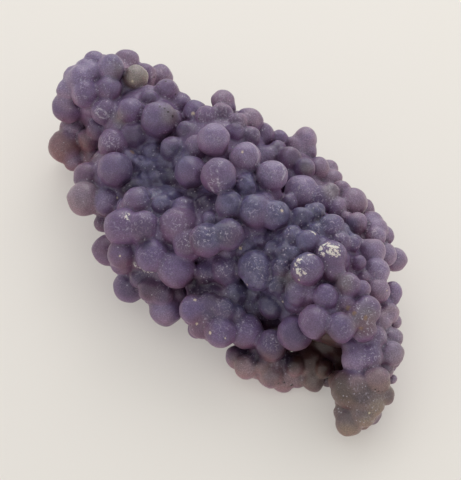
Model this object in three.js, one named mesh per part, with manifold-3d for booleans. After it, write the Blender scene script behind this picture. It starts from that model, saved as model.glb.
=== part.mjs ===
// A botryoidal chalcedony: one grown cluster of round "grapes" on a lumpy core, about 87 mm long.
// It lies along X, from its knob-like head (-X) to its tapered tip (+X), and it is cut flat underneath,
// where it grew on rock. Millimetres, +Z up, with the origin under the middle of the cluster, on the
// surface it rests on.
import * as THREE from 'three';
import { mergeVertices } from 'three/addons/utils/BufferGeometryUtils.js';
import Module from 'manifold-3d';

const wasm = await Module();
wasm.setup();

// The grapes were placed by eye as seen from above the cluster's right front: the sight line's
// azimuth and elevation in degrees, the eye's distance, and the point it looks at.
const SIGHT_AZIMUTH = 54;
const SIGHT_ELEVATION = 50;
const SIGHT_DISTANCE = 320;
const SIGHT_AIM = new THREE.Vector3(0, 0, 12);

// What moves the middle of the cluster's footprint to the origin.
const FOOTPRINT_SHIFT = new THREE.Vector3(3.8, -2.7, 0);

// The core's lumps: x, y, z and radius, before that shift.
const CORE = [
  [-40.3, 0.6, 14, 6.6], // head
  [-40.5, 6.0, 11, 5.2], // head rear
  [-37.9, -5.5, 6, 4.4], // under the head
  [-28.0, 2.5, 13, 8.0], // neck
  [-23.1, -6.6, 10, 7.1], // left shoulder
  [-19.6, -0.4, 8.5, 8.2], // valley
  [-14.0, 7.3, 14, 9.1], // crown
  [-8.7, -8.3, 10, 9.0], // left belly
  [-1.2, 1.2, 12, 10.4], // middle
  [-5.2, 15.2, 10, 7.5], // back
  [13.2, 6.6, 12, 9.6], // right middle
  [11.7, 17.0, 9, 6.2], // right edge
  [3.4, 18.4, 9, 6.0], // upper edge
  [23.6, 4.8, 13, 5.8], // overhang
  [24.5, 11.0, 9, 4.2], // tail
  [30.5, 6.9, 7.5, 4.1], // tail low
  [33.7, 2.7, 5, 4.0], // tip root
  [35.5, 0.3, 3.8, 3.6], // tip
  [21.7, 5.0, 4, 5.0], // hollow wall
  [23.2, -0.3, 2.5, 3.5], // ledge right
  [18.7, -5.6, 3, 3.9], // ledge
  [10.5, -0.9, 6.5, 5.5], // lap
  [7.7, -8.7, 8, 5.2], // front low
  [-2.6, -12.2, 7.5, 4.6], // front left
  [-19, 0, 5, 8.5], // foot, left
  [-3, 5, 4, 10.5], // foot
  [11, 7, 3.5, 8.5], // foot
  [24, 7, 2.5, 5], // foot, right
];

// The larger grapes seen along the sight line: how far to the right of the aim and above it they are
// seen, the radius they are seen with, and how far their centre stands proud of the core.
const GRAPES = [
  // head
  [-27.8, 25.5, 2.2, 0.5],
  [-27.6, 22.6, 2.75, 0.6],
  [-24.7, 24.8, 2.4, 1.0],
  [-20.8, 25.6, 2.3, 0.4],
  [-21.4, 21.9, 2.4, 0.9],
  [-20.4, 29.2, 2.4, 0.8],
  [-17.7, 30.3, 2.2, 0.4],
  // under the head
  [-28.2, 15.9, 2.8, 0.5],
  // neck and left shoulder
  [-12.2, 20.5, 3.1, 1.2],
  [-16.3, 17.8, 2.5, -0.6],
  [-19.9, 16.4, 2.6, 1.0],
  [-19.6, 12.0, 3.0, 1.6],
  [-24.4, 10.8, 2.4, 0.0],
  [-24.8, 7.0, 2.95, 1.8],
  [-21.2, 6.6, 2.3, 0.4],
  [-20.8, -1.4, 2.5, -0.3],
  [-18.3, 2.3, 3.2, 1.2],
  [-14.9, 2.2, 2.8, 0.8],
  [-15.8, 6.4, 2.6, 0.2],
  [-18.6, -2.4, 2.4, 0.8],
  // upper edge
  [-1.3, 23.7, 2.05, 0.5],
  [3.2, 20.2, 2.35, 0.4],
  [12.8, 17.2, 2.0, 0.0],
  [20.7, 6.4, 2.4, 0.8],
  [26.0, 0.7, 1.85, 0.0],
  // the crown and what lies round it
  [-2.85, 17.1, 2.8, 2.6],
  [2.5, 14.0, 2.7, 3.0],
  [-6.7, 11.5, 2.85, 2.6],
  [-2.0, 10.9, 3.1, 3.2],
  [7.0, 10.9, 2.7, 2.4],
  [-0.2, 6.0, 2.4, 0.8],
  // middle
  [-7.8, 5.2, 2.3, 0.4],
  [-9.2, 2.4, 3.0, 1.0],
  [-7.0, -0.6, 2.5, 0.6],
  [-4.0, 0.0, 2.8, 0.9],
  [-0.3, 0.9, 2.6, 1.0],
  [4.2, 4.9, 2.9, 1.6],
  [7.4, 4.6, 2.6, 1.4],
  [12.0, 8.2, 2.9, 1.2],
  [15.7, 7.0, 2.3, 0.8],
  [17.2, -2.9, 2.7, 1.0],
  [13.1, -5.0, 2.85, 1.8],
  [4.2, -5.0, 3.0, 1.0],
  [7.0, -11.2, 2.3, -0.6],
  // lower left
  [-9.3, -5.2, 3.1, 2.0],
  [-13.7, -2.7, 2.5, 0.8],
  [-0.8, -5.2, 2.5, 0.8],
  [-6.3, -11.8, 2.5, 1.0],
  [-1.8, -15.6, 2.7, 1.4],
  [2.6, -15.5, 3.05, 2.2],
  [-4.7, -14.7, 2.3, 0.0],
  [-11.0, -11.8, 2.85, 0.8],
  [-17.1, -7.9, 2.8, 0.0],
  // right edge and tail
  [27.9, -3.3, 2.15, 0.4],
  [23.2, -11.8, 2.4, 0.6],
  [27.5, -19.4, 2.1, 0.2],
  // over the hollow
  [11.7, -8.9, 2.4, 1.0],
  [14.4, -13.9, 2.9, 1.8],
  [18.8, -14.8, 2.65, 1.8],
  [11.0, -15.8, 3.1, 1.0],
  [6.9, -17.9, 2.75, 0.8],
  [21.3, -20.3, 2.45, 1.6],
  [24.9, -23.8, 2.35, 1.2],
  // tip
  [21.2, -25.6, 2.7, 0.4],
  [20.2, -31.0, 2.4, 0.2],
  // ledge
  [8.9, -23.6, 2.3, 0.2],
  [1.8, -20.0, 2.7, 0.2],
];

// The broader grapes on the rest of the core, each standing for a few small ones.
const FILL = {
  radius: 3.6, // mean
  variation: 0.3, // of the radius, either way
  variationStep: 2.4, // radians of the sine that varies it, from one place to the next
  sink: 2, // of a centre below the core's surface
  pitch: 2.2, // between the places tried
  closeness: 0.9, // least distance between two centres, as a share of their radii's sum
  lowest: 1.4, // height of a centre
};
const GOLDEN_ANGLE = Math.PI * (3 - Math.sqrt(5));

// A faceted ball has flat sides, so its corners stand a little out for it to keep its size. A ball
// over this radius has 80 sides, and a smaller one has 32.
const LARGE_BALL = 7;
const LARGE_CORNERS = 1.03;
const SMALL_CORNERS = 1.08;

// Directions of sight: to the right and up in the view, and towards the eye.
const azimuth = THREE.MathUtils.degToRad(SIGHT_AZIMUTH);
const elevation = THREE.MathUtils.degToRad(SIGHT_ELEVATION);
const right = new THREE.Vector3(Math.cos(azimuth), Math.sin(azimuth), 0);
const away = new THREE.Vector3(-Math.sin(azimuth), Math.cos(azimuth), 0);
const up = away.clone().multiplyScalar(Math.sin(elevation)).setZ(Math.cos(elevation));
const towards = away.clone().multiplyScalar(-Math.cos(elevation)).setZ(Math.sin(elevation));
const eye = SIGHT_AIM.clone().addScaledVector(towards, SIGHT_DISTANCE);

const lumps = CORE.map(([x, y, z, radius]) => ({ centre: new THREE.Vector3(x, y, z), radius }));

// Where a line of sight first meets the core, swollen by `proud`, or passes nearest to it.
function seat(seenRight, seenUp, seenRadius, proud) {
  const target = SIGHT_AIM.clone().addScaledVector(right, seenRight).addScaledVector(up, seenUp);
  const line = target.sub(eye).normalize();
  let first = Infinity;
  let nearest = { gap: Infinity, along: 0 };
  for (const { centre, radius } of lumps) {
    const offset = centre.clone().sub(eye);
    const along = offset.dot(line);
    const miss = Math.sqrt(Math.max(offset.lengthSq() - along * along, 0));
    const reach = radius + proud;
    if (miss < reach) first = Math.min(first, along - Math.sqrt(reach * reach - miss * miss));
    if (miss - radius < nearest.gap) nearest = { gap: miss - radius, along };
  }
  const along = first < Infinity ? first : nearest.along;
  const depth = -along * line.dot(towards);
  const radius = (seenRadius * depth) / SIGHT_DISTANCE;
  return { centre: eye.clone().addScaledVector(line, along), radius };
}

// Points spread evenly over a sphere, in a spiral.
function* spiralPoints(centre, radius, pitch) {
  const count = Math.round((4 * Math.PI * radius * radius) / (pitch * pitch));
  for (let i = 0; i < count; i += 1) {
    const height = 1 - (2 * (i + 0.5)) / count;
    const width = Math.sqrt(1 - height * height);
    const turn = GOLDEN_ANGLE * i;
    const outward = new THREE.Vector3(width * Math.cos(turn), width * Math.sin(turn), height);
    yield centre.clone().addScaledVector(outward, radius);
  }
}

// Grapes on every bare place of the core, none closer to another than the fill allows.
function fillCore(seated, fill) {
  const placed = [...seated];
  let tried = 0;
  for (const lump of lumps) {
    for (const centre of spiralPoints(lump.centre, lump.radius - fill.sink, fill.pitch)) {
      tried += 1;
      const radius = fill.radius + fill.variation * Math.sin(tried * fill.variationStep);
      const buried = lumps.some(
        (other) => other !== lump && other.centre.distanceTo(centre) < other.radius - fill.sink,
      );
      const crowded = placed.some(
        (other) => other.centre.distanceTo(centre) < fill.closeness * (other.radius + radius),
      );
      if (!buried && !crowded && centre.z >= fill.lowest) placed.push({ centre, radius });
    }
  }
  return placed.slice(seated.length);
}

// A closed geometry as a solid that can be joined and cut.
function toSolid(geometry) {
  geometry.deleteAttribute('normal');
  geometry.deleteAttribute('uv');
  const merged = mergeVertices(geometry);
  return new wasm.Manifold(
    new wasm.Mesh({
      numProp: 3,
      vertProperties: new Float32Array(merged.attributes.position.array),
      triVerts: new Uint32Array(merged.index.array),
    }),
  );
}

// A ball, turned by its own place so that no two have their facets in line.
function ballSolid({ centre, radius }) {
  const geometry =
    radius > LARGE_BALL
      ? new THREE.IcosahedronGeometry(radius * LARGE_CORNERS, 1)
      : new THREE.OctahedronGeometry(radius * SMALL_CORNERS, 1);
  return toSolid(geometry.rotateX(centre.x).rotateZ(centre.y).translate(centre.x, centre.y, centre.z));
}

// Everything below the surface that the cluster rests on.
function belowGround() {
  const side = 200;
  return toSolid(new THREE.BoxGeometry(side, side, side).translate(0, 0, -side / 2));
}

function toGeometry(solid) {
  const { vertProperties, triVerts } = solid.getMesh();
  const geometry = new THREE.BufferGeometry();
  geometry.setAttribute('position', new THREE.BufferAttribute(vertProperties, 3));
  geometry.setIndex(new THREE.BufferAttribute(triVerts, 1));
  geometry.computeVertexNormals();
  return geometry;
}

function clusterGeometry() {
  const seen = GRAPES.map(([u, v, radius, proud]) => seat(u, v, radius, proud));
  const filled = fillCore(seen, FILL);
  const balls = [...lumps, ...seen, ...filled].map(ballSolid);
  const joined = balls.reduce((sum, next) => sum.add(next)).subtract(belowGround());
  // Chinks sealed between neighbouring balls are solid stone, so only the outer surface is kept.
  const [body] = joined.decompose().sort((a, b) => b.volume() - a.volume());
  return toGeometry(body);
}

const chalcedony = new THREE.MeshStandardMaterial({ color: 0x716179, roughness: 0.42, metalness: 0 });
const cluster = new THREE.Mesh(clusterGeometry(), chalcedony);
cluster.name = 'chalcedony_cluster';
cluster.position.copy(FOOTPRINT_SHIFT);

const specimen = new THREE.Group();
specimen.add(cluster);

export default specimen;
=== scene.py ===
"""A botryoidal chalcedony, dressed: its fine surface, its stone, the floor, the light and the camera.

Lengths are in millimetres, and become metres where a mesh, a light or the camera is made. The origin is
under the middle of the cluster, on the surface that it rests on, and Z is up.
"""
import math

import bpy
import numpy as np
from mathutils import Matrix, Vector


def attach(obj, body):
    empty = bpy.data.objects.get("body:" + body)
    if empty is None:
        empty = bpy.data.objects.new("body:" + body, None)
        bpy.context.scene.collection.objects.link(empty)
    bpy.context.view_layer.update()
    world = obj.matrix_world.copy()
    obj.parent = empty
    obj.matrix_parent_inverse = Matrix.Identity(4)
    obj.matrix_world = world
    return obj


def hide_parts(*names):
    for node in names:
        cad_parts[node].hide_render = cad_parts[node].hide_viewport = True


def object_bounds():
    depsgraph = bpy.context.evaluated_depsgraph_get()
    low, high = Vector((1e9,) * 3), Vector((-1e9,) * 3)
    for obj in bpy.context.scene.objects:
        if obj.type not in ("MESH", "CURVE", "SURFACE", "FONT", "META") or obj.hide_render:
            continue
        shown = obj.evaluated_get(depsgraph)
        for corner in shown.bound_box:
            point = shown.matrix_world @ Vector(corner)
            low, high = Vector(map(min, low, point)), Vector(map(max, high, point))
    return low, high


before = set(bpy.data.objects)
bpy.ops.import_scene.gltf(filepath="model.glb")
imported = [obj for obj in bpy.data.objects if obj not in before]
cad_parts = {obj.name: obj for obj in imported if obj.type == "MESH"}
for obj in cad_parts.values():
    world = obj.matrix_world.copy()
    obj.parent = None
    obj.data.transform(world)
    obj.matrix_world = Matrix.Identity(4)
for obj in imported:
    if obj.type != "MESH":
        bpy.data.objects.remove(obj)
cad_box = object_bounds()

NODE = "chalcedony_cluster"
MM = 0.001

# The picture's size in pixels, and what one of them measures at the distance of the aim.
FRAME_PIXELS = (461, 480)
PIXEL_MM = 0.17
SENSOR_MM = 36.0

# The sight line along which the grapes were placed.
SIGHT_AZIMUTH = math.radians(54)
SIGHT_ELEVATION = math.radians(50)
SIGHT_DISTANCE = 320.0
SIGHT_AIM = np.array([0.0, 0.0, 12.0])
FOOTPRINT_SHIFT = np.array([3.8, -2.7, 0.0])

# The core's lumps: x, y, z and radius, before the shift of the footprint's middle to the origin.
CORE = [
    [-40.3, 0.6, 14, 6.6],  # head
    [-40.5, 6.0, 11, 5.2],  # head rear
    [-37.9, -5.5, 6, 4.4],  # under the head
    [-28.0, 2.5, 13, 8.0],  # neck
    [-23.1, -6.6, 10, 7.1],  # left shoulder
    [-19.6, -0.4, 8.5, 8.2],  # valley
    [-14.0, 7.3, 14, 9.1],  # crown
    [-8.7, -8.3, 10, 9.0],  # left belly
    [-1.2, 1.2, 12, 10.4],  # middle
    [-5.2, 15.2, 10, 7.5],  # back
    [13.2, 6.6, 12, 9.6],  # right middle
    [11.7, 17.0, 9, 6.2],  # right edge
    [3.4, 18.4, 9, 6.0],  # upper edge
    [23.6, 4.8, 13, 5.8],  # overhang
    [24.5, 11.0, 9, 4.2],  # tail
    [30.5, 6.9, 7.5, 4.1],  # tail low
    [33.7, 2.7, 5, 4.0],  # tip root
    [35.5, 0.3, 3.8, 3.6],  # tip
    [21.7, 5.0, 4, 5.0],  # hollow wall
    [23.2, -0.3, 2.5, 3.5],  # ledge right
    [18.7, -5.6, 3, 3.9],  # ledge
    [10.5, -0.9, 6.5, 5.5],  # lap
    [7.7, -8.7, 8, 5.2],  # front low
    [-2.6, -12.2, 7.5, 4.6],  # front left
    [-19, 0, 5, 8.5],  # foot, left
    [-3, 5, 4, 10.5],  # foot
    [11, 7, 3.5, 8.5],  # foot
    [24, 7, 2.5, 5],  # foot, right
]

# The grapes seen along the sight line: how far to the right of the aim and above it they are seen, the
# radius they are seen with, and how far their centre stands proud of the core.
GRAPES = [
    # head
    [-27.6, 22.6, 2.75, 0.6], [-24.7, 24.8, 2.4, 1.0], [-20.8, 25.6, 2.3, 0.4],
    [-21.4, 21.9, 2.4, 0.9], [-20.4, 29.2, 2.4, 0.8], [-16.1, 27.6, 2.2, 1.6],
    # under the head
    [-28.2, 15.9, 2.8, 0.5], [-26.9, 18.8, 2.2, 0.0], [-26.6, 13.6, 1.9, 0.0],
    # neck and left shoulder
    [-17.0, 22.0, 2.2, 0.8], [-12.2, 20.5, 3.1, 1.2], [-10.2, 20.2, 2.2, 0.6],
    [-16.3, 17.8, 2.5, -0.6], [-24.1, 17.0, 2.0, 0.2], [-19.9, 16.4, 2.6, 1.0],
    [-19.6, 12.0, 3.0, 1.6], [-23.6, 14.0, 2.1, -0.4], [-24.4, 10.8, 2.4, 0.0],
    [-24.8, 7.0, 2.95, 1.8], [-21.2, 6.6, 2.3, 0.4], [-21.4, 3.0, 1.8, -0.5],
    [-21.0, -1.7, 2.6, -0.3], [-18.3, 2.3, 3.2, 1.2], [-14.9, 2.2, 2.8, 0.8],
    [-18.6, -2.4, 2.4, 0.8], [-18.4, -3.9, 2.1, 0.2],
    # valley
    [-13.8, 24.0, 1.6, -0.4], [-9.9, 15.5, 2.1, 0.2],
    # upper edge
    [-11.9, 27.7, 2.15, 0.4], [-10.9, 25.2, 2.2, 0.3], [-8.5, 23.2, 1.9, 0.0],
    [-5.9, 21.6, 2.2, 0.0], [-4.0, 20.9, 2.0, 0.0], [-1.3, 23.7, 1.95, 0.5],
    [-0.9, 22.4, 1.9, 0.4], [-1.5, 21.4, 2.0, 0.0], [3.2, 20.2, 2.35, 0.4],
    [1.2, 20.0, 1.7, 0.0], [5.6, 18.0, 1.95, 0.0], [8.3, 17.0, 1.75, 0.0],
    [12.8, 17.2, 2.0, 0.0], [11.6, 16.0, 2.1, 0.6], [13.3, 15.1, 1.5, 0.0],
    [14.9, 12.1, 2.0, 0.2], [16.4, 11.7, 1.95, 0.4], [17.3, 10.4, 1.7, 0.4],
    [18.9, 8.4, 1.75, 0.2], [20.9, 6.4, 2.45, 1.5], [22.5, 5.2, 1.9, 0.2],
    [24.0, 3.0, 2.0, 0.0], [26.0, 0.7, 1.85, 0.0], [24.8, 1.7, 2.0, 0.3],
    [24.7, 0.6, 1.7, 0.8],
    # the crown and what lies round it
    [-2.85, 17.1, 2.8, 2.6], [2.5, 14.0, 2.7, 3.0], [-6.7, 11.5, 2.85, 2.6],
    [-2.0, 10.9, 3.1, 3.2], [7.0, 10.9, 2.7, 2.4], [-5.7, 15.8, 2.1, 0.2],
    [-7.4, 18.6, 1.8, -0.6], [0.8, 18.3, 1.6, 0.0], [3.3, 17.5, 1.8, 0.0],
    [6.3, 14.3, 1.9, 0.2], [8.0, 15.2, 1.7, 0.2], [10.0, 13.8, 2.1, 0.2],
    [12.7, 12.2, 1.8, 1.0], [-0.2, 6.0, 2.4, 0.8],
    # middle
    [-7.8, 5.2, 2.3, 0.4], [-8.8, 2.4, 3.35, 1.4], [-11.6, 6.0, 1.9, 0.0],
    [-7.2, -0.8, 2.7, 1.6], [-4.1, 0.0, 2.95, 1.8], [-0.3, 0.9, 2.75, 1.6],
    [4.2, 4.9, 2.9, 1.6], [7.6, 4.2, 2.6, 2.6], [12.0, 8.2, 2.9, 2.4],
    [15.7, 7.0, 2.3, 2.0], [17.0, 8.0, 1.7, 1.6], [18.0, 5.4, 1.9, 1.6],
    [21.4, 2.8, 1.9, 0.6], [17.2, 2.4, 2.1, 0.6], [13.1, -0.3, 2.1, 0.4],
    [17.1, -2.8, 2.75, 1.2], [13.1, -5.0, 2.85, 1.8], [17.5, -5.2, 2.0, 1.3],
    [4.2, -4.7, 3.1, 1.4], [4.6, -6.2, 2.5, 1.3], [7.0, -11.2, 2.3, 0.0],
    # lower left
    [-9.2, -5.0, 3.25, 2.4], [-13.3, -2.6, 2.85, 1.3], [-6.3, -11.8, 2.5, 1.0],
    [-3.6, -10.8, 1.9, 0.4], [-1.2, -11.8, 2.1, 0.8], [0.9, -12.4, 1.7, 0.6],
    [-1.7, -15.6, 2.75, 2.0], [2.6, -15.5, 3.05, 2.2], [-11.0, -11.8, 2.85, 0.8],
    [-11.6, -9.0, 2.1, 0.0], [-13.6, -8.4, 2.1, -0.2], [-17.1, -7.9, 2.8, 0.0],
    [-15.3, -6.3, 1.9, -0.4], [-9.0, -9.4, 1.8, -0.6],
    # right edge and tail
    [24.0, -2.0, 2.35, 1.6], [27.9, -3.3, 2.15, 0.4], [26.2, -2.5, 2.05, 0.9],
    [24.8, -5.4, 2.35, 2.3], [25.1, -8.6, 2.1, 1.4], [27.5, -8.8, 1.75, 0.4],
    [27.6, -9.9, 1.2, 0.2], [22.2, -8.3, 1.6, 0.8], [20.1, -7.7, 2.2, 0.8],
    [27.6, -14.0, 1.4, 0.0], [27.5, -16.7, 1.9, 0.0], [27.3, -19.3, 2.25, 0.3],
    # over the hollow
    [11.7, -8.9, 2.4, 1.0], [16.2, -9.6, 2.2, 1.0], [14.0, -9.3, 2.0, 0.6],
    [14.4, -13.9, 2.9, 1.8], [18.8, -14.8, 2.65, 1.8], [11.0, -15.8, 3.1, 2.2],
    [6.9, -17.9, 2.75, 1.0], [21.3, -20.3, 2.45, 1.6], [24.9, -23.8, 2.35, 1.2],
    [27.5, -23.7, 0.85, 0.2], [26.3, -22.2, 1.4, 0.4],
    # tip
    [26.0, -26.3, 1.9, 0.3], [20.2, -31.0, 2.4, 0.2],
    # ledge
    [16.0, -21.9, 1.65, 0.4], [14.1, -24.0, 1.9, 0.0], [16.5, -23.8, 1.2, 0.0],
    [11.0, -21.3, 1.8, 0.2], [8.9, -23.6, 2.3, 0.2], [7.0, -23.2, 2.0, 0.0],
    [11.4, -23.6, 1.7, 0.0], [1.2, -19.9, 2.1, 0.2], [2.8, -21.5, 2.2, 0.5],
    [5.4, -21.5, 1.3, 0.0],
]
# The same for low mounds that melt into what they grow on.
MOUNDS = [
    [-27.5, 25.4, 2.1, 0.5], [-17.7, 30.3, 2.2, 0.4], [-23.2, 30.4, 1.8, 0.0],
    [-25.0, 29.0, 1.7, 0.1], [-26.6, 27.8, 1.8, 0.1], [-23.6, 28.4, 1.7, 0.0],
    [-14.6, 28.0, 2.1, -0.4], [-17.6, 25.0, 1.8, -0.6], [-13.4, 14.9, 1.7, 0.0],
    [-16.0, 13.0, 1.5, 0.0], [-13.5, 12.2, 1.8, 0.0], [-11.0, 13.2, 1.6, 0.0],
    [-12.3, 10.0, 1.9, 0.0], [-14.8, 9.6, 1.7, 0.0], [-10.0, 10.6, 1.6, -0.4],
    [-17.4, 9.0, 1.6, -0.2], [2.4, 9.0, 2.2, 0.0], [-6.2, 7.4, 1.6, -0.6],
    [-4.2, 6.2, 1.5, -0.6], [-3.5, 3.7, 1.3, 0.2], [19.7, 3.8, 1.1, 0.4],
    [9.9, 6.3, 1.6, 0.8], [10.6, 1.0, 1.6, 0.4], [18.8, -0.3, 1.7, 0.2],
    [8.0, -7.7, 1.7, -0.2], [8.7, -4.4, 1.7, 0.0], [7.2, -1.6, 1.5, 0.0],
    [9.2, -1.8, 1.6, 0.0], [5.0, -0.2, 1.5, 0.0], [10.8, -2.4, 1.3, 0.0],
    [0.6, -8.9, 2.2, -0.2], [2.6, -10.2, 1.7, -0.4], [4.0, -8.6, 1.8, -0.2],
    [21.8, -3.8, 1.3, 1.0], [20.9, -0.8, 1.3, 0.6], [22.6, -6.3, 1.4, 0.8],
    [12.0, 3.8, 1.9, 1.0], [-15.8, 6.4, 2.6, 0.2], [-3.9, -13.0, 1.8, 0.3],
    [-4.7, -14.7, 2.3, 0.0], [14.4, 4.6, 1.8, 0.9], [17.5, -22.6, 2.2, 0.6],
    [18.4, -24.0, 1.8, 0.4], [-4.1, -5.6, 2.1, 0.8], [-6.0, -7.4, 1.9, -0.4],
    [-0.7, -5.2, 2.6, 0.9], [-22.6, 18.9, 2.0, 0.8], [-25.4, 27.2, 2.4, 0.4],
    [21.5, -13.2, 2.1, 0.9], [22.6, -15.2, 2.2, 0.9], [24.9, -26.2, 1.6, 0.5],
    [18.9, -29.5, 1.4, 0.0], [22.5, -29.9, 2.0, 0.3], [24.2, -28.2, 1.9, 0.5],
    [20.5, -25.2, 3.5, 0.3], [22.6, -27.2, 2.4, 0.4], [20.4, -18.0, 1.6, 0.6],
    [22.3, -18.4, 1.7, 1.0], [23.9, -19.8, 2.1, 1.0], [24.6, -16.6, 2.1, 0.6],
    [25.4, -13.9, 2.0, 0.5], [27.0, -12.4, 1.8, 0.2], [23.2, -11.8, 2.4, 1.0],
]

# Rounds of grapes on the places that are still bare. Each has a mean radius and how much it varies, how
# deep the centres sink into the core, the pitch of the places tried, how close two may stand as a share
# of their radii's sum, how close one may stand to a listed grape, the lowest centre, and
# how far a place may face the eye.
FILLS = [
    dict(radius=2.7, variation=0.4, sink=0.2, pitch=2.6, apart=1.25, tucked=1.0, lowest=2.2, facing=-0.1),
    dict(radius=2.4, variation=0.5, sink=1.1, pitch=2.0, apart=0.74, tucked=0.74, lowest=1.0, facing=0.1),
    dict(radius=2.1, variation=0.4, sink=0.8, pitch=1.1, apart=0.72, tucked=0.56, lowest=0.6, facing=1.0),
    dict(radius=1.5, variation=0.3, sink=0.8, pitch=1.0, apart=0.66, tucked=0.66, lowest=0.4, facing=1.0),
]
# The sine that varies the radii goes on by this, in radians, from one place tried to the next.
VARIATION_STEP = 2.4
GOLDEN_ANGLE = math.pi * (3 - math.sqrt(5))
# How far such a grape may show past what the sight line already meets, the least radius it may have, and
# how much of a listed grape it has to leave in sight.
SHOWS_PAST = 0.4
LEAST_RADIUS = 0.7
KEPT_IN_SIGHT = 0.8
# Deep and even places that stay free of such grapes: right of the aim, above it, and how far each reaches.
# A grape's centre stays outside by a share of its radius.
CLEAR_SHARE = 0.4
KEPT_CLEAR = [
    [17.3, -18.4, 3.2], [14.2, -19.2, 2.8], [10.4, -19.8, 1.6], [-4.6, -8.4, 1.2], [-2.9, -8.6, 1.0],
    [5.6, -13.8, 1.3], [7.2, -14.2, 1.0], [-14.6, -11.2, 1.0],
]
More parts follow.
